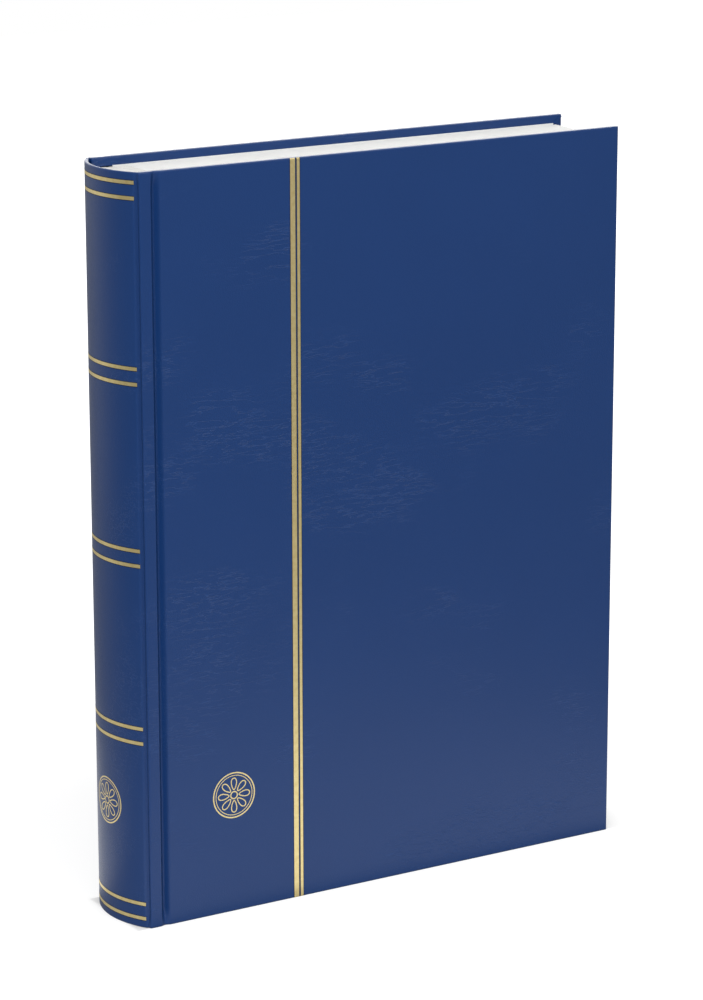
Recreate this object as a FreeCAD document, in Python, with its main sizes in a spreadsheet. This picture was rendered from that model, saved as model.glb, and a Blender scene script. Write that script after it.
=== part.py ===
"""A hard-bound stamp album of about A4 size: a leatherette case round a block of hinged stock leaves.

The album stands on its tail. The spine is at -X, the front cover faces -Y, and the origin is under
the middle of the closed album. Lengths are in millimetres.
"""

import FreeCAD, Part
import math
import os
import re

import Sketcher
from FreeCAD import Vector

LEAF_COUNT = 24
BAND_PAIRS = 5

# Sizes that can be set by themselves
DRIVING = {
    # closed album
    "album_width": 230.0,
    "album_thickness": 44.0,
    "cover_height": 305.0,
    # covers
    "board_thickness": 2.3,
    "cloth_thickness": 0.35,
    "turn_in": 15.0,
    "endpaper_thickness": 0.2,
    "endpaper_margin": 3.5,
    # spine and joints
    "spine_bulge": 6.6,
    "inlay_thickness": 0.9,
    "crease_depth": 1.1,
    "crease_radius": 1.5,
    "joint_width": 7.85,
    "groove_radius": 1.6,
    "shoulder_radius": 1.6,
    # block of leaves
    "head_square": 4.0,
    "fore_square": 3.5,
    "block_clearance": 0.2,
    "hollow_gap": 1.45,
    "lining_thickness": 0.45,
    "guard_width": 10.4,
    "linen_thickness": 0.2,
    "linen_clearance": 0.02,
    "linen_span": 5.0,
    "linen_grip": 8.0,
    "card_thickness": 0.8,
    # pockets and interleaves
    "strip_count": 9,
    "strip_thickness": 0.12,
    "strip_height": 29.0,
    "strip_pitch": 32.0,
    "strip_hinge_margin": 11.0,
    "strip_fore_margin": 4.5,
    "interleaf_thickness": 0.12,
    "interleaf_gap": 0.08,
    "interleaf_margin": 2.0,
    "interleaf_start": 3.5,
    "interleaf_paste": 6.0,
    # stamped lines
    "stamp_depth": 0.06,
    "stripe_from_crest": 73.2,
    "wide_stripe": 2.6,
    "stripe_gap": 0.65,
    "narrow_stripe": 1.7,
    "band_width": 1.8,
    "band_gap": 4.25,
    "band_pitch": 72.75,
}

# Places and sizes that follow from them
DERIVED = {
    "leaf_count": f"{LEAF_COUNT}",
    "half_thickness": "album_thickness / 2",
    "crest_x": "-album_width / 2",
    "fore_x": "album_width / 2",
    "board_height": "cover_height - 2 * cloth_thickness",
    "case_thickness": "2 * cloth_thickness + board_thickness",
    "block_half": "half_thickness - case_thickness - endpaper_thickness - block_clearance",
    "leaf_pitch": "2 * block_half / leaf_count",
    "leaf_height": "cover_height - 2 * head_square",
    "crease_x": "crest_x + spine_bulge",
    "crease_y": "half_thickness - crease_depth",
    "spine_radius": "(spine_bulge * spine_bulge + crease_y * crease_y) / (2 * spine_bulge)",
    "spine_angle": "2 * asin(crease_y / spine_radius)",
    "hem_radius": "spine_radius - cloth_thickness - inlay_thickness",
    "groove_x": "crease_x + joint_width",
    "groove_depth": "half_thickness - block_half - lining_thickness - cloth_thickness",
    "groove_radii": "groove_radius + shoulder_radius",
    "groove_run": "sqrt(groove_depth * (2 * groove_radii - groove_depth))",
    "shoulder_x": "groove_x - groove_run",
    "board_x": "groove_x + groove_run",
    "board_width": "fore_x - cloth_thickness - board_x",
    "lining_x": "crease_x + hollow_gap",
    "guard_x": "lining_x + lining_thickness",
    "card_x": "guard_x + guard_width + linen_span",
    "card_width": "fore_x - fore_square - card_x",
    "slot_width": "linen_thickness + 2 * linen_clearance",
    "linen_width": "guard_width + linen_span + linen_grip",
    "strip_length": "card_width - strip_hinge_margin - strip_fore_margin",
    "strip_rise": "(strip_count - 1) * strip_pitch",
    "strip_foot": "(leaf_height - strip_rise - strip_height) / 2",
    "page_face": "card_thickness / 2 + strip_thickness",
    "interleaf_width": "card_width - interleaf_start - interleaf_margin",
    "interleaf_height": "leaf_height - 2 * interleaf_margin",
    "interleaf_depth": "strip_thickness + interleaf_gap + interleaf_thickness",
}

WORD = re.compile(r"[a-z][a-z_]*")
FRONT = -1
BACK = 1

doc = FreeCAD.newDocument("StampAlbum")
sheet = doc.addObject("Spreadsheet::Sheet", "Sizes")
pieces = []


def fill_sheet():
    row = 0
    for name, value in {**DRIVING, **DERIVED}.items():
        row += 1
        sheet.set(f"A{row}", name)
        formula = name in DERIVED
        sheet.set(f"B{row}", f"={value}" if formula else str(value))
        sheet.setAlias(f"B{row}", name)
    doc.recompute()


def size(name):
    value = sheet.get(name)
    return getattr(value, "Value", value)


def formula_of(text):
    """The expression for a formula in the sheet's own names."""

    def full(match):
        name = match.group()
        known = name in DRIVING or name in DERIVED
        return f"Sizes.{name}" if known else name

    return WORD.sub(full, text)


def bind(item, target, text):
    item.setExpression(target, formula_of(text))


def place(item, corner):
    for axis, text in zip("xyz", corner):
        bind(item, f"Placement.Base.{axis}", text)


def named(item, label):
    """Marks an object as one of the album's pieces."""
    item.Label = label
    pieces.append(item)
    return item


# Building blocks


def new_body(name, corner):
    body = doc.addObject("PartDesign::Body", name)
    place(body, corner)
    return body


def new_sketch(body, name, role, offset="0"):
    """A sketch on one of the body's origin planes, moved along the plane's normal."""
    plane = next(item for item in body.Origin.OriginFeatures if item.Role == role)
    sketch = body.newObject("Sketcher::SketchObject", name)
    sketch.AttachmentSupport = (plane, [""])
    sketch.MapMode = "FlatFace"
    bind(sketch, "AttachmentOffset.Base.z", offset)
    return sketch


def limit(sketch, kind, *terms):
    return sketch.addConstraint(Sketcher.Constraint(kind, *terms))


def drive(sketch, kind, terms, text, start):
    """A dimension in a sketch that takes its value from the sheet."""
    index = limit(sketch, kind, *terms, start)
    bind(sketch, f"Constraints[{index}]", text)


def draw_outline(sketch, corners):
    """A closed outline of straight lines through the corners, each a pair of formulas."""
    points = [Vector(evaluate(across), evaluate(up)) for across, up in corners]
    count = len(points)
    for index in range(count):
        sketch.addGeometry(Part.LineSegment(points[index], points[(index + 1) % count]))
    for index in range(count):
        limit(sketch, "Coincident", index, 2, (index + 1) % count, 1)
    for index, (point, texts) in enumerate(zip(points, corners)):
        drive(sketch, "DistanceX", (-1, 1, index, 1), texts[0], point.x)
        drive(sketch, "DistanceY", (-1, 1, index, 1), texts[1], point.y)


def evaluate(text):
    """The present value of a formula in the sheet's names."""
    value = sheet.evalExpression(text)
    return float(getattr(value, "Value", value))


def pad(body, sketch, text, backwards=False):
    feature = body.newObject("PartDesign::Pad", f"{body.Name}_pad")
    feature.Profile = sketch
    feature.Reversed = backwards
    bind(feature, "Length", text)
    body.Tip = feature
    return feature


def prism(name, corner, outline, height):
    """A body with a plan outline, padded upwards."""
    body = new_body(name, corner)
    sketch = new_sketch(body, f"{name}_plan", "XY_Plane")
    draw_outline(sketch, outline)
    pad(body, sketch, height)
    return body


def rectangle(width, depth):
    return [("0", "0"), (width, "0"), (width, depth), ("0", depth)]


def repeat(body, features, axis, text, count):
    """Equal copies of features along one of the body's axes, over a length."""
    pattern = body.newObject("PartDesign::LinearPattern", f"{body.Name}_rows")
    pattern.Originals = features
    line = next(item for item in body.Origin.OriginFeatures if item.Role == axis)
    pattern.Direction = (line, [""])
    bind(pattern, "Length", text)
    bind(pattern, "Occurrences", count)
    body.Tip = pattern
    return pattern


def box(name, corner, extent):
    block = doc.addObject("Part::Box", name)
    for side, text in zip(("Length", "Width", "Height"), extent):
        bind(block, side, text)
    place(block, corner)
    return block


def joined(name, solids):
    fuse = doc.addObject("Part::MultiFuse", name)
    fuse.Shapes = solids
    fuse.Refine = True
    return fuse


def without(name, base, tool):
    cut = doc.addObject("Part::Cut", name)
    cut.Base = base
    cut.Tool = tool
    return cut


def grouped(name, solids):
    group = doc.addObject("Part::Compound", name)
    group.Links = solids
    return group


def mirrored(name, source):
    """The back cover's copy of a piece of the front cover."""
    copy = doc.addObject("Part::Mirroring", name)
    copy.Source = source
    copy.Normal = Vector(0, 1, 0)
    return copy


# Curves of the case in plan


def end_near(sketch, curve, point):
    """Which end of a curve, 1 or 2, lies at a point."""
    gap = [sketch.getPoint(curve, end).distanceToPoint(point) for end in (1, 2)]
    return 1 if gap[0] < gap[1] else 2


def add_arc(sketch, centre, radius, start, stop):
    """The shorter arc round a centre between two points on it."""
    middle = (start + stop) / 2 - centre
    bulge = centre + middle.normalize() * radius
    return sketch.addGeometry(Part.Arc(start, bulge, stop))


def meet(sketch, kind, first, second, point):
    limit(sketch, kind, first, end_near(sketch, first, point), second, end_near(sketch, second, point))


def fix_point(sketch, curve, point, across, up):
    end = end_near(sketch, curve, point)
    drive(sketch, "DistanceX", (-1, 1, curve, end), across, point.x)
    drive(sketch, "DistanceY", (-1, 1, curve, end), up, point.y)


def draw_groove(sketch, side, far_x):
    """One flank of a joint groove: up from its floor and over a rounded edge onto the outer face."""
    face = side * size("half_thickness")
    inward = -side
    floor = Vector(size("groove_x"), face + inward * size("groove_depth"))
    top = Vector(size(far_x), face)
    hollow = floor - Vector(0, inward * size("groove_radius"))
    round_edge = top + Vector(0, inward * size("shoulder_radius"))
    share = size("groove_radius") / size("groove_radii")
    between = hollow + (round_edge - hollow) * share
    valley = add_arc(sketch, hollow, size("groove_radius"), floor, between)
    edge = add_arc(sketch, round_edge, size("shoulder_radius"), between, top)
    meet(sketch, "Tangent", valley, edge, between)
    drive(sketch, "Radius", (valley,), "groove_radius", size("groove_radius"))
    drive(sketch, "Radius", (edge,), "shoulder_radius", size("shoulder_radius"))
    limit(sketch, "Vertical", valley, 3, valley, end_near(sketch, valley, floor))
    limit(sketch, "Vertical", edge, 3, edge, end_near(sketch, edge, top))
    sign = "-" if side == FRONT else ""
    fix_point(sketch, valley, floor, "groove_x", f"{sign}(half_thickness - groove_depth)")
    end = end_near(sketch, edge, top)
    drive(sketch, "DistanceY", (-1, 1, edge, end), f"{sign}half_thickness", face)
    return edge, top


def draw_shoulder(sketch, side):
    """The joint from its groove over the shoulder to the crease beside the spine."""
    edge, top = draw_groove(sketch, side, "shoulder_x")
    face = side * size("half_thickness")
    radius = size("crease_radius")
    drop = radius - size("crease_depth")
    crease = Vector(size("crease_x"), side * size("crease_y"))
    flat_end = Vector(crease.x + math.sqrt(radius * radius - drop * drop), face)
    flat = sketch.addGeometry(Part.LineSegment(top, flat_end))
    roll = add_arc(sketch, flat_end - Vector(0, side * radius), radius, flat_end, crease)
    meet(sketch, "Tangent", edge, flat, top)
    meet(sketch, "Tangent", flat, roll, flat_end)
    drive(sketch, "Radius", (roll,), "crease_radius", radius)
    sign = "-" if side == FRONT else ""
    fix_point(sketch, roll, crease, "crease_x", f"{sign}crease_y")
    return roll, crease


def skin(name, sketch, sign=""):
    """Leatherette as tall as the cover, laid to one side of an open curve."""
    section = doc.addObject("Part::Offset2D", f"{name}_section")
    section.Source = sketch
    section.Mode = "Skin"
    section.Join = "Arc"
    section.Fill = True
    bind(section, "Value", f"{sign}cloth_thickness")
    sheet_solid = doc.addObject("Part::Extrusion", name)
    sheet_solid.Base = section
    sheet_solid.DirMode = "Custom"
    sheet_solid.Dir = Vector(0, 0, 1)
    sheet_solid.Solid = True
    bind(sheet_solid, "LengthFwd", "cover_height")
    return sheet_solid


def sector(name, radius, foot, height):
    """A slice of a cylinder under the spine's arc."""
    solid = doc.addObject("Part::Cylinder", name)
    bind(solid, "Radius", radius)
    bind(solid, "Height", height)
    bind(solid, "Angle", "spine_angle")
    solid.Placement = FreeCAD.Placement(Vector(), FreeCAD.Rotation(Vector(0, 0, 1), 90))
    bind(solid, "Placement.Rotation.Angle", "180 deg - spine_angle / 2")
    place(solid, ("crest_x + spine_radius", "0", foot))
    return solid


def curved_strip(name, outer, inner, foot, height):
    """A strip that follows the spine's arc, between two radii."""
    return without(
        name,
        sector(f"{name}_outer", outer, foot, height),
        sector(f"{name}_inner", inner, foot, height),
    )


# Covers


def cover_board():
    corner = ("board_x", "cloth_thickness - half_thickness", "cloth_thickness")
    outline = rectangle("board_width", "board_thickness")
    return prism("front_board", corner, outline, "board_height")


def cover_cloth():
    """Leatherette over a board: turned in at three edges, and down into the groove at the fourth."""
    corner = ("board_x", "-half_thickness", "0")
    wrapped = box("wrapped_board", corner, ("fore_x - board_x", "case_thickness", "cover_height"))
    inside = ("board_x", "cloth_thickness - half_thickness", "cloth_thickness")
    board_room = box("board_room", inside, ("board_width", "board_thickness", "board_height"))
    opening = box(
        "turn_in_opening",
        ("board_x", "cloth_thickness + board_thickness - half_thickness", "turn_in"),
        ("fore_x - turn_in - board_x", "cloth_thickness", "cover_height - 2 * turn_in"),
    )
    tray = without("turned_edges", without("board_sleeve", wrapped, board_room), opening)
    curve = doc.addObject("Sketcher::SketchObject", "groove_curve")
    draw_groove(curve, FRONT, "board_x")
    return joined("cover_skin", [tray, skin("groove_lip", curve, "-")])


def stripe(name, start, width):
    corner = (start, "-half_thickness - stamp_depth", "0")
    return box(name, corner, (width, "2 * stamp_depth", "cover_height"))


def front_stripes():
    """A wide and a narrow line down the front cover."""
    start = "crest_x + stripe_from_crest"
    wide = stripe("wide_line", start, "wide_stripe")
    narrow = stripe("narrow_line", f"{start} + wide_stripe + stripe_gap", "narrow_stripe")
    return grouped("front_stripes", [wide, narrow])


def endpaper():
    """Paper pasted over the turn-ins, sunk to the board between them."""
    paper = new_body("front_endpaper", ("board_x", "case_thickness - half_thickness", "0"))
    face = new_sketch(paper, "endpaper_face", "XZ_Plane")
    far = "fore_x - board_x - endpaper_margin"
    top = "cover_height - endpaper_margin"
    low = "endpaper_margin"
    draw_outline(face, [("0", low), (far, low), (far, top), ("0", top)])
    pad(paper, face, "endpaper_thickness", backwards=True)
    sunk = new_sketch(paper, "endpaper_sunk", "XZ_Plane")
    far = "fore_x - board_x - turn_in"
    top = "cover_height - turn_in"
    draw_outline(sunk, [("0", "turn_in"), (far, "turn_in"), (far, top), ("0", top)])
    pad(paper, sunk, "cloth_thickness")
    return paper


def build_covers():
    board = cover_board()
    cloth = cover_cloth()
    paper = endpaper()
    named(board, "front_board")
    named(mirrored("back_board", board), "back_board")
    named(without("front_cover_cloth", cloth, front_stripes()), "front_cover_cloth")
    named(mirrored("back_cover_cloth", cloth), "back_cover_cloth")
    named(paper, "front_endpaper")
    named(mirrored("back_endpaper", paper), "back_endpaper")


# Spine


def spine_curve():
    curve = doc.addObject("Sketcher::SketchObject", "spine_curve")
    front, front_crease = draw_shoulder(curve, FRONT)
    back, back_crease = draw_shoulder(curve, BACK)
    crest = Vector(size("crest_x"), 0)
    arc = curve.addGeometry(Part.Arc(front_crease, crest, back_crease))
    meet(curve, "Coincident", front, arc, front_crease)
    meet(curve, "Coincident", back, arc, back_crease)
    drive(curve, "Radius", (arc,), "spine_radius", size("spine_radius"))
    return curve


def hem(name, foot, cap_foot):
    """Leatherette turned over one end of the inlay and down inside it."""
    inner = "hem_radius - cloth_thickness"
    inside = curved_strip(f"{name}_inside", "hem_radius", inner, foot, "turn_in")
    outer = "spine_radius - cloth_thickness"
    cap = curved_strip(f"{name}_cap", outer, "hem_radius", cap_foot, "cloth_thickness")
    return [inside, cap]


def spine_bands():
    """Pairs of lines round the spine, evenly spaced up its height."""
    bands = []
    for pair in range(BAND_PAIRS):
        step = pair - (BAND_PAIRS - 1) / 2
        middle = f"cover_height / 2 + {step} * band_pitch"
        lower = f"{middle} - band_gap / 2 - band_width"
        upper = f"{middle} + band_gap / 2"
        for part, foot in (("lower", lower), ("upper", upper)):
            name = f"band_{pair + 1}_{part}"
            outer = "spine_radius + stamp_depth"
            inner = "spine_radius - stamp_depth"
            bands.append(curved_strip(name, outer, inner, foot, "band_width"))
    return grouped("spine_bands", bands)


def build_spine():
    inlay = curved_strip(
        "spine_inlay",
        "spine_radius - cloth_thickness",
        "hem_radius",
        "cloth_thickness",
        "board_height",
    )
    named(inlay, "spine_inlay")
    head = hem("head_hem", "cover_height - turn_in", "cover_height - cloth_thickness")
    tail = hem("tail_hem", "0", "0")
    cloth = joined("spine_skin", [skin("spine_sheet", spine_curve()), *head, *tail])
    named(without("spine_cloth", cloth, spine_bands()), "spine_cloth")


# Binding


def spine_lining():
    """A U of mull round the back of the guards, with a flange under each groove."""
    back = "lining_thickness"
    reach = "groove_x - lining_x"
    outer = "block_half + lining_thickness"
    outline = [
        ("0", f"-({outer})"),
        (reach, f"-({outer})"),
        (reach, "-block_half"),
        (back, "-block_half"),
        (back, "block_half"),
        (reach, "block_half"),
        (reach, outer),
        ("0", outer),
    ]
    return prism("spine_lining", ("lining_x", "0", "head_square"), outline, "leaf_height")


def leaf_guards():
    """Card strips between the linen hinges, with thinner ones outside the first and the last."""
    body = new_body("leaf_guards", ("guard_x", "-block_half", "head_square"))
    thin = "(leaf_pitch - linen_thickness) / 2"
    thick = "leaf_pitch - linen_thickness"
    first_plan = new_sketch(body, "first_guard_plan", "XY_Plane")
    draw_outline(first_plan, rectangle("guard_width", thin))
    pad(body, first_plan, "leaf_height")
    last_plan = new_sketch(body, "last_guard_plan", "XY_Plane")
    near = f"2 * block_half - {thin}"
    far = "2 * block_half"
    corners = [("0", near), ("guard_width", near), ("guard_width", far), ("0", far)]
    draw_outline(last_plan, corners)
    pad(body, last_plan, "leaf_height")
    plan = new_sketch(body, "guard_plan", "XY_Plane")
    near = "(leaf_pitch + linen_thickness) / 2"
    far = f"{near} + {thick}"
    corners = [("0", near), ("guard_width", near), ("guard_width", far), ("0", far)]
    draw_outline(plan, corners)
    guard = pad(body, plan, "leaf_height")
    doc.recompute()
    repeat(body, [guard], "Y_Axis", "(leaf_count - 2) * leaf_pitch", "leaf_count - 1")
    return body


def linen_hinges():
    """A linen strip per leaf, from between the guards into the edge of the leaf's card."""
    corner = ("guard_x", "(leaf_pitch - linen_thickness) / 2 - block_half", "head_square")
    outline = rectangle("linen_width", "linen_thickness")
    body = prism("linen_hinges", corner, outline, "leaf_height")
    doc.recompute()
    repeat(body, [body.Tip], "Y_Axis", "(leaf_count - 1) * leaf_pitch", "leaf_count")
    return body


def build_binding():
    named(spine_lining(), "spine_lining")
    named(leaf_guards(), "leaf_guards")
    named(linen_hinges(), "linen_hinges")


# Leaves


def leaf_corner(number):
    middle = f"({number} - 0.5) * leaf_pitch - block_half"
    return ("card_x", middle, "head_square")


def leaf_card(number):
    """A stiff card with a slot in its binding edge for the linen."""
    face = "card_thickness / 2"
    slot = "slot_width / 2"
    depth = "linen_grip + linen_clearance"
    outline = [
        ("0", f"-{face}"),
        ("card_width", f"-{face}"),
        ("card_width", face),
        ("0", face),
        ("0", slot),
        (depth, slot),
        (depth, f"-{slot}"),
        ("0", f"-{slot}"),
    ]
    return prism(f"leaf_{number:02d}_card", leaf_corner(number), outline, "leaf_height")


def leaf_glassine(number):
    """Rows of pocket strips on both faces of a card, and the interleaf behind all but the last."""
    name = f"leaf_{number:02d}_glassine"
    body = new_body(name, leaf_corner(number))
    near = "strip_hinge_margin"
    far = "strip_hinge_margin + strip_length"
    top = "strip_foot + strip_height"
    corners = [(near, "strip_foot"), (far, "strip_foot"), (far, top), (near, top)]
    front_row = new_sketch(body, f"{name}_front_row", "XZ_Plane", "card_thickness / 2")
    draw_outline(front_row, corners)
    front_strip = pad(body, front_row, "strip_thickness")
    back_row = new_sketch(body, f"{name}_back_row", "XZ_Plane", "-card_thickness / 2")
    draw_outline(back_row, corners)
    back_strip = pad(body, back_row, "strip_thickness", backwards=True)
    doc.recompute()
    repeat(body, [front_strip, back_strip], "Z_Axis", "strip_rise", "strip_count")
    if number < LEAF_COUNT:
        plan = new_sketch(body, f"{name}_sheet", "XY_Plane", "interleaf_margin")
        near = "interleaf_start"
        pasted = "interleaf_start + interleaf_paste"
        far = "interleaf_start + interleaf_width"
        face = "card_thickness / 2"
        inner = "page_face + interleaf_gap"
        outer = "card_thickness / 2 + interleaf_depth"
        draw_outline(
            plan,
            [(near, face), (pasted, face), (pasted, inner), (far, inner), (far, outer), (near, outer)],
        )
        pad(body, plan, "interleaf_height")
    return body


def build_leaves():
    for number in range(1, LEAF_COUNT + 1):
        named(leaf_card(number), f"leaf_{number:02d}_card")
        named(leaf_glassine(number), f"leaf_{number:02d}_glassine")


def check():
    for item in doc.Objects:
        if {"Invalid", "Error"} & set(item.State):
            raise RuntimeError(f"{item.Label} failed: {item.State}")
    for piece in pieces:
        if piece.Shape.isNull() or not piece.Shape.isValid():
            raise RuntimeError(f"{piece.Label} has no valid shape")


def write():
    os.makedirs("parts", exist_ok=True)
    for piece in pieces:
        piece.Shape.exportStep(f"parts/{piece.Label}.step")
        print(piece.Label, len(piece.Shape.Solids), round(piece.Shape.Volume, 2))


fill_sheet()
build_covers()
build_spine()
build_binding()
build_leaves()
doc.recompute()
check()
write()
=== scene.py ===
"""Looks of a hard-bound stamp album: leatherette case, gilt lines, stock leaves and a plain white stage."""

import math

import bpy
from mathutils import Matrix, Vector


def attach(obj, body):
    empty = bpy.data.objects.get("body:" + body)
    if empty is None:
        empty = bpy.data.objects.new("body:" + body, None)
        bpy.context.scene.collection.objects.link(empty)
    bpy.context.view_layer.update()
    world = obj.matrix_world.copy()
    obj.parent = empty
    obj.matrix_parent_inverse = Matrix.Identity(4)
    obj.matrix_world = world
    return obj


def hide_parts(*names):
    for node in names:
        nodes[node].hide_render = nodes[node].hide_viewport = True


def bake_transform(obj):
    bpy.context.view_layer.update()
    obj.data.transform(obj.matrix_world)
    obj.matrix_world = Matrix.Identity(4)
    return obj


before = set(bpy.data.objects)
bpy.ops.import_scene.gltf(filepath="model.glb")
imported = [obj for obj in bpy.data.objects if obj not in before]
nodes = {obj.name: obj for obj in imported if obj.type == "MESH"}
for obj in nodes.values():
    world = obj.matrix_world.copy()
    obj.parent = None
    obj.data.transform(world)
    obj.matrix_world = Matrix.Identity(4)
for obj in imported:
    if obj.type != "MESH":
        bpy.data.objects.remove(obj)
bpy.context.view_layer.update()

MM = 0.001
LEAF_COUNT = 24

# The case in plan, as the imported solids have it
HALF_THICKNESS = 22.0
CREST_X = -115.0
FORE_X = 115.0
HEIGHT = 305.0
CREASE_X = -108.4
CREASE_Y = 20.9
CREASE_RADIUS = 1.5
SPINE_BULGE = 6.6
SPINE_RADIUS = (SPINE_BULGE ** 2 + CREASE_Y ** 2) / (2 * SPINE_BULGE)
GROOVE_X = -100.55
GROOVE_LOW_X = -100.8
GROOVE_HALF = 2.3
GROOVE_DEPTH = 2.4
BOARD_X = -97.407
SHOULDER_X = 2 * GROOVE_X - BOARD_X
INNER_FACE = 19.0
SEAM = 0.35
CREASE_NOTCH = 1.1
NOTCH_WIDTH = 0.85
PRESS_FADE = 7.0
PRESS_AT_ENDS = 0.3
INLAY_DEPTH = (0.6, 1.5)
INLAY_SHORT = 2.0
INLAY_END = 0.7

# Leatherette edges
EDGE_RADIUS = 0.65
CORNER_SHARE = 0.25
INLAY_HEM = 1.6
TURN_IN = 15.0
JOINT_HEM = 3.6
HEM_CHANGE_X = (CREASE_X - 1.2, CREASE_X - 0.5)
JOINT_CHANGE_X = (CREASE_X - 0.5, CREASE_X + 1.6)
JOINT_FLUSH_X = CREASE_X + 1.8
MITRE_START = 0.5
MITRE_STOP = 4.2
MITRE_WIDTH = 0.7
MITRE_LIFT = 0.3

# Gilt lines
FOIL_LIFT = 0.03
FOIL_RIM = 0.25
WIDE_LINE = (-41.3, -39.1)
NARROW_LINE = (-38.3, -37.05)
BAND_WIDTH = 1.4
BAND_SHORT = 1.0
BAND_GAP = 4.7
BAND_MIDDLES = (7.0, 80.4, 153.1, 225.6, 298.0)
ORNAMENT_Z = 49.5
ORNAMENT_X = -69.2
ROSETTE_RINGS = ((9.4, 0.55), (8.3, 0.3), (1.5, 0.5))
RING_STEPS = 96
PETALS = 8
PETAL_STEPS = 40
PETAL_MIDDLE = 4.75
PETAL_HALF_LENGTH = 2.45
PETAL_HALF_WIDTH = 1.15
PETAL_TAPER = 0.35
PETAL_LINE = 0.42

# Colours
BLUE_DEEP = (0.0060, 0.0335, 0.134)
BLUE_PALE = (0.0066, 0.0355, 0.141)
# A lighter blue laid along the wrinkles
BLUE_ON_WRINKLES = (0.012, 0.046, 0.165)
GOLD_PALE = (0.82, 0.68, 0.335)
GOLD_DEEP = (0.74, 0.59, 0.26)
# Painted shade for the dark rims beside the gilt lines, standing for the pressed border's shadow
RIM_BLUE = (0.006, 0.013, 0.030)
RIM_BROWN = (0.016, 0.018, 0.020)

# Leaves
BLOCK_HALF = 18.6
LEAF_PITCH = 2 * BLOCK_HALF / LEAF_COUNT
LEAF_FOOT = 4.0
LEAF_HEAD = 301.0
CARD_HALF = 0.4
STRIP_X = (-80.1, 107.0)
STRIP_FOOT = 10.0
STRIP_HEIGHT = 29.0
STRIP_PITCH = 32.0
STRIP_ROWS = 9
STRIP_LIFT = 0.12
SEAM_HEIGHT = 1.4
SEALED_END = 0.3
SHEET_X = (-87.6, 109.5)
SHEET_Z = (6.0, 299.0)
SHEET_OFFSET = 0.65
LINEN_X = (-96.9, -90.3)
LINEN_HALF = 0.1
LINEN_STEPS = 14

# Stage
FLOOR_X = (-420, 2600)
FLOOR_Y = (-420, 2600)
FLOOR_COLOUR = (0.38, 0.38, 0.38)
FLOOR_NEAR = 150
FLOOR_FAR = 330
FLOOR_GLOW = 0.70
# Painted reflection: how strongly the floor near the album glows for glossy rays
FLOOR_IN_GLOSS = 0.85
# Painted shade in reflections: how far beside the album's faces that glow is dimmed
FLOOR_SHADE = 14
# Reach of the painted contact shadow on the floor between the covers
FLOOR_CONTACT_SHADE = 30
ROOM_LIGHT = 0.5
ROOM_LEVELS = (("Y", 0.1, 1.0, 0.12, 0.7), ("X", -0.5, 0.5, 0.0, 0.12))

# Camera, in radians and metres
CAMERA_TURN = (0.5483, 0.2527, -0.0018)
CAMERA_PLACE = (-0.73647, -1.20545, 0.52243)
SENSOR_WIDTH = 36
LENS = SENSOR_WIDTH * 3.567


# Mesh helpers


def new_mesh(name, points, faces, material, smooth=True):
    """A mesh object from points in millimetres."""
    mesh = bpy.data.meshes.new(name)
    mesh.from_pydata([[value * MM for value in point] for point in points], [], faces)
    mesh.validate()
    mesh.polygons.foreach_set("use_smooth", [smooth] * len(mesh.polygons))
    mesh.materials.append(material)
    item = bpy.data.objects.new(name, mesh)
    bpy.context.scene.collection.objects.link(item)
    return item


def grid(columns):
    """Points and faces of a surface through equal columns of points."""
    points = [point for column in columns for point in column]
    rows = len(columns[0])
    faces = []
    for across in range(len(columns) - 1):
        for up in range(rows - 1):
            low = across * rows + up
            faces.append((low, low + rows, low + rows + 1, low + 1))
    return points, faces


def arc(centre, radius, start, stop, steps):
    """Points on an arc between two angles in degrees."""
    points = []
    for step in range(steps + 1):
        angle = math.radians(start + (stop - start) * step / steps)
        points.append((centre[0] + radius * math.cos(angle), centre[1] + radius * math.sin(angle)))
    return points


def line(start, stop, steps):
    return [
        tuple(a + (b - a) * step / steps for a, b in zip(start, stop)) for step in range(steps + 1)
    ]


def normals(points):
    """Left-hand normals of a plan line."""
    result = []
    for index in range(len(points)):
        before = points[max(index - 1, 0)]
        after = points[min(index + 1, len(points) - 1)]
        along = Vector((after[0] - before[0], after[1] - before[1])).normalized()
        result.append(Vector((-along.y, along.x)))
    return result


# Materials


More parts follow.
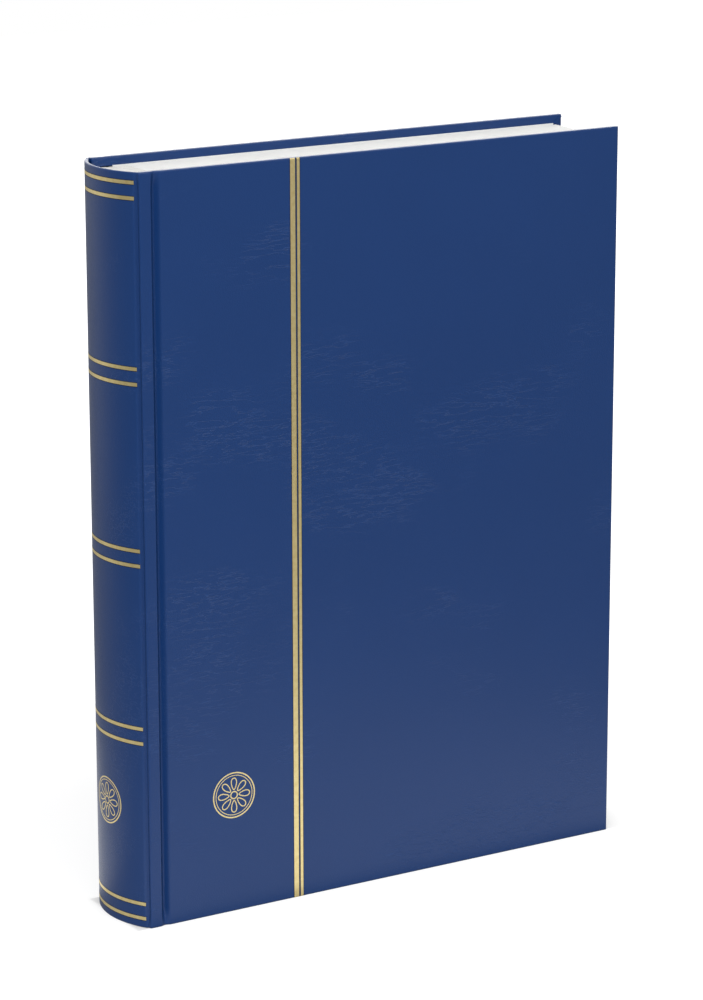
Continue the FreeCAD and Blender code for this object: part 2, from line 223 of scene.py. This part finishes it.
class Nodes:
    """A short way to write a shader tree."""

    def __init__(self, name):
        self.material = bpy.data.materials.new(name)
        self.material.use_nodes = True
        self.tree = self.material.node_tree
        self.shader = self.tree.nodes["Principled BSDF"]

    def add(self, kind, **values):
        node = self.tree.nodes.new(kind)
        for key, value in values.items():
            if key in node.inputs:
                node.inputs[key].default_value = value
            else:
                setattr(node, key, value)
        return node

    def join(self, source, target):
        self.tree.links.new(source, target)

    def place(self, scale=(1, 1, 1), turn=(0, 0, 0)):
        """Millimetres of the album's frame, stretched and turned."""
        where = self.add("ShaderNodeTexCoord")
        mapping = self.add("ShaderNodeMapping")
        mapping.inputs["Scale"].default_value = [value / MM for value in scale]
        mapping.inputs["Rotation"].default_value = [math.radians(value) for value in turn]
        self.join(where.outputs["Object"], mapping.inputs["Vector"])
        return mapping.outputs["Vector"]

    def noise(self, vector, scale, detail=3.0, rough=0.5):
        node = self.add("ShaderNodeTexNoise", Scale=scale, Detail=detail, Roughness=rough)
        self.join(vector, node.inputs["Vector"])
        return node.outputs["Fac"]

    def cells(self, vector, scale):
        node = self.add("ShaderNodeTexVoronoi", feature="DISTANCE_TO_EDGE", Scale=scale)
        self.join(vector, node.inputs["Vector"])
        return node.outputs["Distance"]

    def spread(self, value, low, high, out_low, out_high):
        node = self.add("ShaderNodeMapRange", interpolation_type="SMOOTHSTEP")
        for key, number in (
            ("From Min", low), ("From Max", high), ("To Min", out_low), ("To Max", out_high),
        ):
            node.inputs[key].default_value = number
        self.join(value, node.inputs["Value"])
        return node.outputs["Result"]

    def sum(self, first, second, share=1.0):
        node = self.add("ShaderNodeMath", operation="MULTIPLY_ADD")
        self.join(second, node.inputs[0])
        node.inputs[1].default_value = share
        self.join(first, node.inputs[2])
        return node.outputs["Value"]

    def product(self, first, second):
        node = self.add("ShaderNodeMath", operation="MULTIPLY")
        self.join(first, node.inputs[0])
        self.join(second, node.inputs[1])
        return node.outputs["Value"]

    def most(self, first, second):
        node = self.add("ShaderNodeMath", operation="MAXIMUM")
        self.join(first, node.inputs[0])
        self.join(second, node.inputs[1])
        return node.outputs["Value"]

    def blend(self, value, low, high):
        node = self.add("ShaderNodeMix", data_type="RGBA")
        self.join(value, node.inputs["Factor"])
        for socket, colour in ((node.inputs[6], low), (node.inputs[7], high)):
            socket.default_value = (*colour, 1)
        return node.outputs[2]

    def bump(self, height, distance, strength=1.0):
        node = self.add("ShaderNodeBump", Strength=strength, Distance=distance * MM)
        self.join(height, node.inputs["Height"])
        self.join(node.outputs["Normal"], self.shader.inputs["Normal"])

    def set(self, **values):
        for key, value in values.items():
            self.shader.inputs[key.replace("_", " ")].default_value = value
        return self.material


def leatherette():
    """Blue book cloth with a fine pressed grain and a few faint slanting wrinkles."""
    made = Nodes("leatherette")
    here = made.place()
    grain = made.spread(made.cells(here, 1.15), 0.0, 0.22, 0.0, 1.0)
    pores = made.noise(here, 2.6, 4.0, 0.6)
    slanted = made.place(scale=(0.22, 1.0, 1.5), turn=(0, 24, 0))
    folds = made.spread(made.noise(slanted, 0.34, 2.0, 0.6), 0.3, 0.7, -1.0, 1.0)
    ridges = made.add("ShaderNodeMath", operation="ABSOLUTE")
    made.join(folds, ridges.inputs[0])
    creased = made.spread(ridges.outputs["Value"], 0.0, 0.16, 1.0, 0.0)
    patch = made.spread(made.noise(made.place(scale=(0.6, 1.0, 1.0)), 0.03, 3.0), 0.5, 0.66, 0.0, 1.0)
    wrinkles = made.product(creased, patch)
    height = made.sum(made.sum(grain, pores, 0.8), wrinkles, 3.0)
    made.bump(height, 0.035, 0.55)
    tone = made.sum(made.noise(here, 0.02, 3.0), grain, 0.25)
    colour = made.blend(made.spread(tone, 0.35, 0.95, 0.0, 1.0), BLUE_DEEP, BLUE_PALE)
    # The wrinkles are coloured a lighter blue as well as bumped
    lighter_wrinkles = made.blend(wrinkles, BLUE_DEEP, BLUE_ON_WRINKLES)
    made.join(colour, lighter_wrinkles.node.inputs[6])
    made.join(lighter_wrinkles, made.shader.inputs["Base Color"])
    rough = made.spread(made.sum(pores, grain, -0.3), 0.0, 0.7, 0.31, 0.43)
    made.join(rough, made.shader.inputs["Roughness"])
    return made.set(Specular_IOR_Level=0.42)


def gilt():
    """Hot-stamped gold foil over the grain."""
    made = Nodes("gilt")
    here = made.place()
    speckle = made.noise(here, 2.2, 5.0, 0.65)
    made.bump(speckle, 0.03, 0.5)
    wear = made.spread(made.noise(here, 0.5, 4.0), 0.3, 0.75, 0.0, 1.0)
    colour = made.blend(wear, GOLD_PALE, GOLD_DEEP)
    made.join(colour, made.shader.inputs["Base Color"])
    made.join(made.spread(speckle, 0.3, 0.7, 0.28, 0.42), made.shader.inputs["Roughness"])
    return made.set(Metallic=0.72)


def painted_rim_shade():
    """Painted shade: the dark edge beside the foil stands for the shadow of the die's pressed border."""
    made = Nodes("painted_rim_shade")
    tone = made.noise(made.place(), 1.5, 3.0)
    made.join(made.blend(tone, RIM_BLUE, RIM_BROWN), made.shader.inputs["Base Color"])
    return made.set(Roughness=0.55, Specular_IOR_Level=0.2)


def paper(name, pale, shade, rough, fibre):
    """Uncoated paper or card with faint fibres."""
    made = Nodes(name)
    here = made.place()
    fibres = made.noise(made.place(scale=(1.0, 1.0, 2.4)), fibre, 6.0, 0.7)
    cloud = made.noise(here, 0.05, 3.0)
    colour = made.blend(made.spread(made.sum(cloud, fibres, 0.5), 0.4, 1.1, 0.0, 1.0), shade, pale)
    made.join(colour, made.shader.inputs["Base Color"])
    roughness = made.spread(fibres, 0.2, 0.8, rough - 0.08, rough + 0.08)
    made.join(roughness, made.shader.inputs["Roughness"])
    made.bump(fibres, 0.02, 0.4)
    return made.set(Specular_IOR_Level=0.3)


def woven(name, pale, shade, pitch):
    """Plain-woven cloth with threads a given distance apart."""
    made = Nodes(name)
    heights = []
    for turn in ((0, 0, 0), (0, 90, 0)):
        scale = math.pi / (10 * pitch)
        wave = made.add("ShaderNodeTexWave", bands_direction="Z", Scale=scale, Distortion=0.6)
        made.join(made.place(turn=turn), wave.inputs["Vector"])
        heights.append(wave.outputs["Fac"])
    weave = made.sum(heights[0], heights[1])
    colour = made.blend(made.spread(weave, 0.2, 1.6, 0.0, 1.0), shade, pale)
    made.join(colour, made.shader.inputs["Base Color"])
    made.bump(weave, 0.08, 0.7)
    return made.set(Roughness=0.85, Specular_IOR_Level=0.2)


def film(name, alpha, rough, tint):
    """Clear or milky glassine: thin, smooth and slightly rippled."""
    made = Nodes(name)
    ripple = made.noise(made.place(scale=(0.4, 1.0, 1.0)), 0.06, 3.0)
    made.bump(ripple, 0.25, 0.35)
    roughness = made.spread(ripple, 0.3, 0.7, rough - 0.06, rough + 0.06)
    made.join(roughness, made.shader.inputs["Roughness"])
    shade = [value * 0.97 for value in tint]
    made.join(made.blend(ripple, shade, tint), made.shader.inputs["Base Color"])
    return made.set(Alpha=alpha, Specular_IOR_Level=0.5)


LEATHER = leatherette()
GILT = gilt()
# Painted shade for the pressed borders beside the gilt lines
RIM_SHADE = painted_rim_shade()
CARD = paper("stock_card", (0.84, 0.84, 0.825), (0.81, 0.81, 0.795), 0.62, 0.7)
GUARD = paper("guard_card", (0.80, 0.79, 0.76), (0.76, 0.75, 0.72), 0.7, 0.8)
ENDPAPER = paper("endpaper", (0.78, 0.78, 0.765), (0.75, 0.75, 0.735), 0.66, 0.9)
GREYBOARD = paper("greyboard", (0.50, 0.47, 0.42), (0.40, 0.37, 0.33), 0.85, 0.5)
LINEN = woven("linen", (0.84, 0.83, 0.80), (0.66, 0.65, 0.62), 0.5)
MULL = woven("mull", (0.80, 0.78, 0.72), (0.50, 0.48, 0.42), 0.9)
POCKET = film("pocket_film", 0.22, 0.16, (0.93, 0.95, 0.96))
POCKET_SEAM = film("pocket_seam", 0.5, 0.3, (0.93, 0.94, 0.94))
GLASSINE = film("glassine", 0.34, 0.34, (0.93, 0.94, 0.93))


# The case


def mirrored(points):
    return [(point[0], -point[1]) for point in reversed(points)]


def half_spine():
    """Plan of the spine from the front seam on the shoulder to the crest, front side."""
    drop = CREASE_RADIUS - (HALF_THICKNESS - CREASE_Y)
    roll_x = CREASE_X + math.sqrt(CREASE_RADIUS ** 2 - drop ** 2)
    start = math.degrees(math.asin(drop / CREASE_RADIUS))
    flat = line((SHOULDER_X - SEAM, -HALF_THICKNESS), (roll_x, -HALF_THICKNESS), 3)
    centre = (roll_x, CREASE_RADIUS - HALF_THICKNESS)
    roll = arc(centre, CREASE_RADIUS, 270, 180 + start, 8)
    half_angle = math.degrees(math.asin(CREASE_Y / SPINE_RADIUS))
    back = arc((CREST_X + SPINE_RADIUS, 0), SPINE_RADIUS, 180 + half_angle, 180, 90)
    return flat[:-1] + roll[:-1] + back


def eased(points, passes):
    """Softens the pressed valleys of a plan line and keeps its ends."""
    for _ in range(passes):
        inner = []
        for before, here, after in zip(points, points[1:], points[2:]):
            inner.append(tuple((a + 2 * b + c) / 4 for a, b, c in zip(before, here, after)))
        points = [points[0], *inner, points[-1]]
    return points


def pressed(z):
    """The share of the joint's depth at a height: less where the sheet is doubled at head and tail."""
    share = min(z, HEIGHT - z, PRESS_FADE) / PRESS_FADE
    return PRESS_AT_ENDS + (1 - PRESS_AT_ENDS) * share * share * (3 - 2 * share)


def hem_column(outer, inner, hem, lifted=None):
    """One upright line of the sheet: inside the tail, over its edge, up the outside and in at the head.

    Where the sheet is pressed in, lifted is the place of the outer point before pressing.
    """
    outer, inner = Vector(outer), Vector(inner)
    lifted = Vector(lifted) if lifted else outer
    end = lifted.lerp(outer, PRESS_AT_ENDS)
    across = inner - end
    depth = across.length
    radius = min(EDGE_RADIUS, depth / 2)
    along = across.normalized()
    turns = [(1 - math.sin(a), 1 - math.cos(a)) for a in (0, 0.4, 0.8, 1.2, math.pi / 2)]
    profile = [(depth, hem)]
    profile += [(depth - radius * inward, radius * rise) for rise, inward in turns]
    profile += [(radius * inward, radius * rise) for rise, inward in reversed(turns)]
    tail = [(*(end + along * shift), rise) for shift, rise in profile]
    head = [(x, y, HEIGHT - z) for x, y, z in reversed(tail)]
    steps = [HEIGHT * step / 24 for step in range(1, 24)]
    near = [PRESS_FADE * step / 6 for step in range(1, 7)]
    heights = sorted({*steps, *near, *(HEIGHT - z for z in near)})
    middle = [(*lifted.lerp(outer, pressed(z)), z) for z in heights]
    return tail + middle + head


def smooth_share(value, low, high):
    share = min(max((value - low) / (high - low), 0.0), 1.0)
    return share * share * (3 - 2 * share)


def build_spine():
    """The round back with its hems, and a pressed crease beside each shoulder."""
    front = half_spine()
    plan = list(reversed(eased(front + mirrored(front)[1:], 2)))
    columns = []
    for (x, y), normal in zip(plan, normals(plan)):
        aside = math.hypot(x - CREASE_X, abs(y) - CREASE_Y)
        notch = CREASE_NOTCH * math.exp(-((aside / NOTCH_WIDTH) ** 2))
        outer = (x + normal.x * notch, y + normal.y * notch)
        on_joint = smooth_share(x, *JOINT_CHANGE_X)
        behind = Vector((x + normal.x * INLAY_HEM, y + normal.y * INLAY_HEM))
        flush = Vector((max(x, JOINT_FLUSH_X), math.copysign(INNER_FACE, y)))
        hem = TURN_IN + (JOINT_HEM - TURN_IN) * smooth_share(x, *HEM_CHANGE_X)
        columns.append(hem_column(outer, behind.lerp(flush, on_joint), hem, lifted=(x, y)))
    return columns


def oriented(columns, flip):
    return list(reversed(columns)) if flip else columns


def joint_plan():
    """Plan of the front joint: from the shoulder's seam, through the groove, to the board's seam."""
    steps = 60
    plan = [(SHOULDER_X - SEAM, -HALF_THICKNESS)]
    for step in range(steps + 1):
        x = SHOULDER_X + (BOARD_X - SHOULDER_X) * step / steps
        aside = abs(x - GROOVE_LOW_X)
        valley = smooth_share(aside, GROOVE_HALF, 0.0)
        plan.append((x, valley * GROOVE_DEPTH - HALF_THICKNESS))
    plan.append((BOARD_X + SEAM, -HALF_THICKNESS))
    return plan


def build_joint(side):
    columns = []
    for x, y in joint_plan():
        column = hem_column((x, y), (x, -INNER_FACE), JOINT_HEM, lifted=(x, -HALF_THICKNESS))
        columns.append([(across, -side * out, z) for across, out, z in column])
    return oriented(columns, side > 0)


def build_cover(name, side):
    """A covered board: softly rounded at its free edges, square where it meets the joint."""
    points = []
    outer, inner = side * HALF_THICKNESS, side * INNER_FACE
    for x in (BOARD_X + SEAM, FORE_X):
        for y in (outer, inner):
            for z in (0.0, HEIGHT):
                points.append((x, y, z))
    faces = [(0, 4, 5, 1), (4, 6, 7, 5), (6, 2, 3, 7), (1, 5, 7, 3), (0, 2, 6, 4), (0, 1, 3, 2)]
    if side > 0:
        faces = [tuple(reversed(face)) for face in faces]
    item = new_mesh(name, points, faces, LEATHER)
    item.data.attributes.new("bevel_weight_edge", "FLOAT", "EDGE")
    for edge in item.data.edges:
        first, second = (item.data.vertices[index].co for index in edge.vertices)
        at_joint = first.x < 0 and second.x < 0
        through = abs(first.y - second.y) > 0
        weight = 0.0 if at_joint else CORNER_SHARE if through else 1.0
        item.data.attributes["bevel_weight_edge"].data[edge.index].value = weight
        edge.use_edge_sharp = at_joint
    bevel = item.modifiers.new("soft_edges", "BEVEL")
    bevel.limit_method = "WEIGHT"
    bevel.width = EDGE_RADIUS * MM
    bevel.segments = 4
    bevel.harden_normals = True
    return item


def spine_reach():
    """Distance round the spine from its crest to a crease."""
    return SPINE_RADIUS * math.asin(CREASE_Y / SPINE_RADIUS)


def build_inlay():
    """The curved card inside the spine, a little shorter than the sheet round it."""
    half_turn = (spine_reach() - INLAY_SHORT) / SPINE_RADIUS
    foot, head = INLAY_END, HEIGHT - INLAY_END
    columns = []
    steps = 40
    for step in range(steps + 1):
        angle = half_turn * (1 - 2 * step / steps)
        corners = []
        for depth, z in zip((0, 0, 1, 1, 0), (foot, head, head, foot, foot)):
            radius = SPINE_RADIUS - INLAY_DEPTH[depth]
            corners.append((CREST_X + SPINE_RADIUS - radius * math.cos(angle), radius * math.sin(angle), z))
        columns.append(corners)
    points, faces = grid(columns)
    last = len(points) - len(columns[0])
    faces += [(3, 2, 1, 0), (last, last + 1, last + 2, last + 3)]
    inlay = new_mesh("spine_inlay_card", points, faces, GREYBOARD, smooth=False)
    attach(inlay, "binding")
    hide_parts("spine_inlay")


def build_mitres(name, side):
    """The edge of the folded sheet across the two fore corners on the inside of a cover."""
    points, faces = [], []
    level = side * (INNER_FACE - MITRE_LIFT)
    for z, rise in ((0.0, 1), (HEIGHT, -1)):
        first = len(points)
        for along, across in ((MITRE_START, -1), (MITRE_START, 1), (MITRE_STOP, 1), (MITRE_STOP, -1)):
            shift = across * MITRE_WIDTH / 2
            for y in (level, side * INNER_FACE):
                points.append((FORE_X - along - shift, y, z + rise * (along - shift)))
        for corner in range(4):
            after = (corner + 1) % 4
            low, high = first + 2 * corner, first + 2 * after
            faces.append((low, high, high + 1, low + 1))
        faces.append((first, first + 2, first + 4, first + 6))
    mitres = new_mesh(f"{name}_mitres", points, faces, LEATHER, smooth=False)
    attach(mitres, f"{name}_cover")


def build_case():
    build_inlay()
    spine = new_mesh("spine_skin", *grid(build_spine()), LEATHER)
    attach(spine, "binding")
    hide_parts("spine_cloth")
    for name, side in (("front", -1), ("back", 1)):
        cover = build_cover(f"{name}_cover_skin", side)
        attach(cover, f"{name}_cover")
        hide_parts(f"{name}_cover_cloth")
        build_mitres(name, side)
        joint = new_mesh(f"{name}_joint_skin", *grid(build_joint(side)), LEATHER)
        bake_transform(joint)


# Gilding


def give_rim_shade(foil, kinds):
    """Gives the outer strips of a gilt line a painted shade for the pressed border."""
    foil.data.materials.append(RIM_SHADE)
    foil.data.polygons.foreach_set("material_index", kinds)


def front_foil(name, start, stop):
    """A gilt line down the front cover that runs onto its head and tail edges."""
    reach = EDGE_RADIUS + FOIL_LIFT
    curl = [math.radians(angle) for angle in (62, 45, 30, 15, 0)]
    edge = -HALF_THICKNESS + EDGE_RADIUS
    low = [(edge - reach * math.cos(a), EDGE_RADIUS - reach * math.sin(a)) for a in curl]
    rows = low + [(-HALF_THICKNESS - FOIL_LIFT, HEIGHT * step / 40) for step in range(1, 40)]
    rows += [(y, HEIGHT - z) for y, z in reversed(low)]
    columns = [[(x, y, z) for y, z in rows] for x in (start - FOIL_RIM, start, stop, stop + FOIL_RIM)]
    foil = new_mesh(name, *grid(columns), GILT)
    steps = len(rows) - 1
    give_rim_shade(foil, [1] * steps + [0] * steps + [1] * steps)
    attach(foil, "front_cover")


def on_spine(along, up):
    """A point on the spine, a distance round from its crest and a height."""
    angle = along / SPINE_RADIUS
    radius = SPINE_RADIUS + FOIL_LIFT
    return (CREST_X + SPINE_RADIUS - radius * math.cos(angle), -radius * math.sin(angle), up)


def on_front(along, up):
    return (ORNAMENT_X + along, -HALF_THICKNESS - FOIL_LIFT, up)


def band_foil(name, foot):
    reach = spine_reach() - BAND_SHORT
    head = foot + BAND_WIDTH
    steps = 60
    columns = []
    for step in range(steps + 1):
        along = reach - 2 * reach * step / steps
        columns.append([on_spine(along, z) for z in (foot - FOIL_RIM, foot, head, head + FOIL_RIM)])
    foil = new_mesh(name, *grid(columns), GILT)
    give_rim_shade(foil, [1, 0, 1] * steps)
    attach(foil, "binding")


def stroke(points, width):
    """A closed ribbon of a given width round flat points."""
    count = len(points)
    ribbon = []
    for index, (x, y) in enumerate(points):
        before, after = points[index - 1], points[(index + 1) % count]
        along = Vector((after[0] - before[0], after[1] - before[1])).normalized()
        side = Vector((-along.y, along.x)) * (width / 2)
        ribbon.append(((x + side.x, y + side.y), (x - side.x, y - side.y)))
    faces = [
        (2 * index, 2 * index + 1, 2 * ((index + 1) % count) + 1, 2 * ((index + 1) % count))
        for index in range(count)
    ]
    return [point for pair in ribbon for point in pair], faces


def rosette():
    """A round bookbinder's ornament: two rings, eight petals and a small eye."""
    shapes = []
    for radius, width in ROSETTE_RINGS:
        angles = [math.tau * step / RING_STEPS for step in range(RING_STEPS)]
        ring = [(radius * math.cos(a), radius * math.sin(a)) for a in angles]
        shapes.append(stroke(ring, width))
    for petal in range(PETALS):
        turn = math.tau * petal / PETALS
        across, up = math.cos(turn), math.sin(turn)
        outline = []
        for step in range(PETAL_STEPS):
            share = math.tau * step / PETAL_STEPS
            out = PETAL_MIDDLE - PETAL_HALF_LENGTH * math.cos(share)
            wide = PETAL_HALF_WIDTH * math.sin(share) * (1 - PETAL_TAPER * math.cos(share))
            outline.append((out * across - wide * up, out * up + wide * across))
        shapes.append(stroke(outline, PETAL_LINE))
    return shapes


def ornament(name, surface, body):
    points, faces = [], []
    for shape_points, shape_faces in rosette():
        first = len(points)
        points += [surface(along, ORNAMENT_Z + up) for along, up in shape_points]
        faces += [tuple(first + index for index in face) for face in shape_faces]
    foil = new_mesh(name, points, faces, GILT)
    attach(foil, body)


def build_gilding():
    front_foil("front_wide_line", *WIDE_LINE)
    front_foil("front_narrow_line", *NARROW_LINE)
    for pair, middle in enumerate(BAND_MIDDLES, start=1):
        band_foil(f"band_{pair}_lower", middle - BAND_GAP / 2 - BAND_WIDTH)
        band_foil(f"band_{pair}_upper", middle + BAND_GAP / 2)
    ornament("front_ornament", on_front, "front_cover")
    ornament("spine_ornament", on_spine, "binding")


# Leaves


def leaf_name(number):
    return f"leaf_{number:02d}"


def leaf_middle(number):
    return (number - 0.5) * LEAF_PITCH - BLOCK_HALF


def strip_columns(middle, side, foot):
    """One pocket strip: sealed to the page at its foot and ends, standing off a little at its open top."""
    face = middle + side * CARD_HALF
    rows = [(0.0, 0.02), (SEAM_HEIGHT, 0.04), (6.0, 0.09), (18.0, STRIP_LIFT), (STRIP_HEIGHT, STRIP_LIFT)]
    columns = []
    steps = 12
    for step in range(steps + 1):
        x = STRIP_X[0] + (STRIP_X[1] - STRIP_X[0]) * step / steps
        sealed = SEALED_END if step in (0, steps) else 1.0
        columns.append([(x, face + side * (lift * sealed), foot + up) for up, lift in rows])
    return oriented(columns, side > 0)


def build_pockets(number):
    middle = leaf_middle(number)
    points, faces, kinds = [], [], []
    for side in (-1, 1):
        for row in range(STRIP_ROWS):
            columns = strip_columns(middle, side, STRIP_FOOT + row * STRIP_PITCH)
            new_points, new_faces = grid(columns)
            rows = len(columns[0])
            first = len(points)
            points += new_points
            faces += [tuple(first + index for index in face) for face in new_faces]
            kinds += [1 if min(face) % rows == 0 else 0 for face in new_faces]
    pockets = new_mesh(f"{leaf_name(number)}_pockets", points, faces, POCKET)
    pockets.data.materials.append(POCKET_SEAM)
    pockets.data.polygons.foreach_set("material_index", kinds)
    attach(pockets, leaf_name(number))
    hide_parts(f"{leaf_name(number)}_glassine")


def build_interleaf(number):
    """A milky sheet pasted along the hinge edge, lying over the pockets behind the card."""
    middle = leaf_middle(number)
    heights = [z for z, in line((SHEET_Z[0],), (SHEET_Z[1],), 12)]
    columns = []
    steps = 20
    for step in range(steps + 1):
        x = SHEET_X[0] + (SHEET_X[1] - SHEET_X[0]) * step / steps
        columns.append([(x, middle + SHEET_OFFSET, z) for z in heights])
    sheet = new_mesh(f"{leaf_name(number)}_interleaf", *grid(oriented(columns, True)), GLASSINE)
    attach(sheet, leaf_name(number))


def build_linen(number):
    """The strip of linen between the guards and the card; the mesh is built at rest and does not bend."""
    middle = leaf_middle(number)
    near, far = middle - LINEN_HALF, middle + LINEN_HALF
    corners = ((near, LEAF_FOOT), (near, LEAF_HEAD), (far, LEAF_HEAD), (far, LEAF_FOOT), (near, LEAF_FOOT))
    columns = []
    for step in range(LINEN_STEPS + 1):
        x = LINEN_X[0] + (LINEN_X[1] - LINEN_X[0]) * step / LINEN_STEPS
        columns.append([(x, y, z) for y, z in corners])
    strip = new_mesh(f"{leaf_name(number)}_linen", *grid(columns), LINEN, smooth=False)
    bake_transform(strip)
    return strip


def build_leaves():
    for number in range(1, LEAF_COUNT + 1):
        build_pockets(number)
        if number < LEAF_COUNT:
            build_interleaf(number)
        strip = build_linen(number)
        if number == 1:
            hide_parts("linen_hinges")


def dress_solids():
    looks = {
        "front_board": GREYBOARD, "back_board": GREYBOARD, "front_endpaper": ENDPAPER,
        "back_endpaper": ENDPAPER, "spine_lining": MULL, "leaf_guards": GUARD,
    }
    for number in range(1, LEAF_COUNT + 1):
        looks[f"{leaf_name(number)}_card"] = CARD
    for name, material in looks.items():
        nodes[name].data.materials.clear()
        nodes[name].data.materials.append(material)


# Stage, light and camera


def build_stage():
    """A white sheet that keeps the lamps' soft shadow near the album and runs out into plain white; it adds
    a painted contact shadow between the covers, and near the album it glows for glossy rays only, a painted
    reflection that is dimmed beside the album's faces.
    """
    made = Nodes("white_floor")
    made.set(Base_Color=(*FLOOR_COLOUR, 1), Roughness=0.9, Specular_IOR_Level=0.1)
    reach = made.add("ShaderNodeVectorMath", operation="LENGTH")
    made.join(made.place(), reach.inputs[0])
    plain = made.spread(reach.outputs["Value"], FLOOR_NEAR, FLOOR_FAR, FLOOR_GLOW, 1.0)
    split = made.add("ShaderNodeSeparateXYZ")
    made.join(made.place(), split.inputs[0])
    before = made.add("ShaderNodeMath", operation="ABSOLUTE")
    made.join(split.outputs["Y"], before.inputs[0])
    # Painted shade in reflections: the glow seen in gloss is dimmed close in front of and behind the album
    clear = made.spread(before.outputs["Value"], HALF_THICKNESS, HALF_THICKNESS + FLOOR_SHADE, 0.1, 1.0)
    # Painted reflection: near the album the floor glows for glossy rays only, fading with distance
    painted_reflection_glow = made.product(
        clear, made.spread(reach.outputs["Value"], FLOOR_NEAR, FLOOR_FAR, FLOOR_IN_GLOSS, 0.0),
    )
    # Painted contact shadow: ambient occlusion darkens the floor's glow for camera rays between the covers
    painted_contact_shade = made.add("ShaderNodeAmbientOcclusion", Distance=FLOOR_CONTACT_SHADE * MM)
    aside = made.spread(before.outputs["Value"], INNER_FACE, HALF_THICKNESS, 0.0, 1.0)
    behind = made.spread(split.outputs["X"], CREST_X, CREASE_X, 1.0, 0.0)
    unshaded_share = made.most(made.most(aside, behind), painted_contact_shade.outputs["AO"])
    glow_with_contact_shade = made.product(plain, unshaded_share)
    path = made.add("ShaderNodeLightPath")
    seen = made.product(path.outputs["Is Camera Ray"], glow_with_contact_shade)
    through = made.sum(seen, path.outputs["Is Transmission Ray"])
    glow = made.sum(through, made.product(path.outputs["Is Glossy Ray"], painted_reflection_glow))
    made.shader.inputs["Emission Color"].default_value = (1, 1, 1, 1)
    made.join(glow, made.shader.inputs["Emission Strength"])
    corners = [(FLOOR_X[0], FLOOR_Y[0], 0), (FLOOR_X[1], FLOOR_Y[0], 0), (FLOOR_X[1], FLOOR_Y[1], 0)]
    corners.append((FLOOR_X[0], FLOOR_Y[1], 0))
    new_mesh("floor", corners, [(0, 1, 2, 3)], made.material)


def build_world():
    """Even white light, seen in gloss as a room that is bright behind the album and dim before it."""
    world = bpy.data.worlds.new("studio")
    bpy.context.scene.world = world
    world.use_nodes = True
    tree = world.node_tree
    background = tree.nodes["Background"]
    where = tree.nodes.new("ShaderNodeTexCoord")
    split = tree.nodes.new("ShaderNodeSeparateXYZ")
    tree.links.new(where.outputs["Generated"], split.inputs["Vector"])
    room = tree.nodes.new("ShaderNodeMath")
    for index, (axis, low, high, least, most) in enumerate(ROOM_LEVELS):
        level = tree.nodes.new("ShaderNodeMapRange")
        level.interpolation_type = "SMOOTHSTEP"
        for key, value in (("From Min", low), ("From Max", high), ("To Min", least), ("To Max", most)):
            level.inputs[key].default_value = value
        tree.links.new(split.outputs[axis], level.inputs["Value"])
        tree.links.new(level.outputs["Result"], room.inputs[index])
    path = tree.nodes.new("ShaderNodeLightPath")
    light = tree.nodes.new("ShaderNodeMix")
    light.inputs["A"].default_value = ROOM_LIGHT
    tree.links.new(path.outputs["Is Glossy Ray"], light.inputs["Factor"])
    tree.links.new(room.outputs["Value"], light.inputs["B"])
    seen = tree.nodes.new("ShaderNodeMath")
    seen.operation = "MAXIMUM"
    tree.links.new(path.outputs["Is Camera Ray"], seen.inputs[0])
    tree.links.new(light.outputs["Result"], seen.inputs[1])
    tree.links.new(seen.outputs["Value"], background.inputs["Strength"])
    background.inputs["Color"].default_value = (1, 1, 1, 1)


def add_lamp(name, place, target, size, power, mirrored_in_gloss=True):
    lamp = bpy.data.lights.new(name, "AREA")
    lamp.shape = "RECTANGLE"
    lamp.size, lamp.size_y = size
    lamp.energy = power
    item = bpy.data.objects.new(name, lamp)
    item.location = place
    item.rotation_euler = (Vector(target) - Vector(place)).to_track_quat("-Z", "Y").to_euler()
    item.visible_glossy = mirrored_in_gloss
    bpy.context.scene.collection.objects.link(item)


def build_light():
    add_lamp("key", (-1.35, -1.6, 0.85), (0, 0, 0.12), (1.2, 1.2), 28, mirrored_in_gloss=False)
    add_lamp("top", (0.1, -0.95, 1.55), (0, 0, 0.2), (1.4, 1.0), 15)
    add_lamp("back", (0.95, 1.55, 0.75), (0, 0, 0.3), (1.5, 1.0), 12)


def build_camera():
    yaw, pitch, roll = CAMERA_TURN
    ahead = Vector((math.sin(yaw) * math.cos(pitch), math.cos(yaw) * math.cos(pitch), -math.sin(pitch)))
    right = Vector((math.cos(yaw), -math.sin(yaw), 0))
    up = right.cross(ahead)
    right, up = right * math.cos(roll) + up * math.sin(roll), up * math.cos(roll) - right * math.sin(roll)
    data = bpy.data.cameras.new("camera")
    data.sensor_width = SENSOR_WIDTH
    data.lens = LENS
    item = bpy.data.objects.new("camera", data)
    turn = Matrix((right, up, -ahead)).transposed().to_4x4()
    item.matrix_world = Matrix.Translation(CAMERA_PLACE) @ turn
    bpy.context.scene.collection.objects.link(item)
    bpy.context.scene.camera = item


build_case()
build_gilding()
build_leaves()
dress_solids()
build_stage()
build_world()
build_light()
build_camera()
bpy.context.scene.view_settings.view_transform = "Standard"
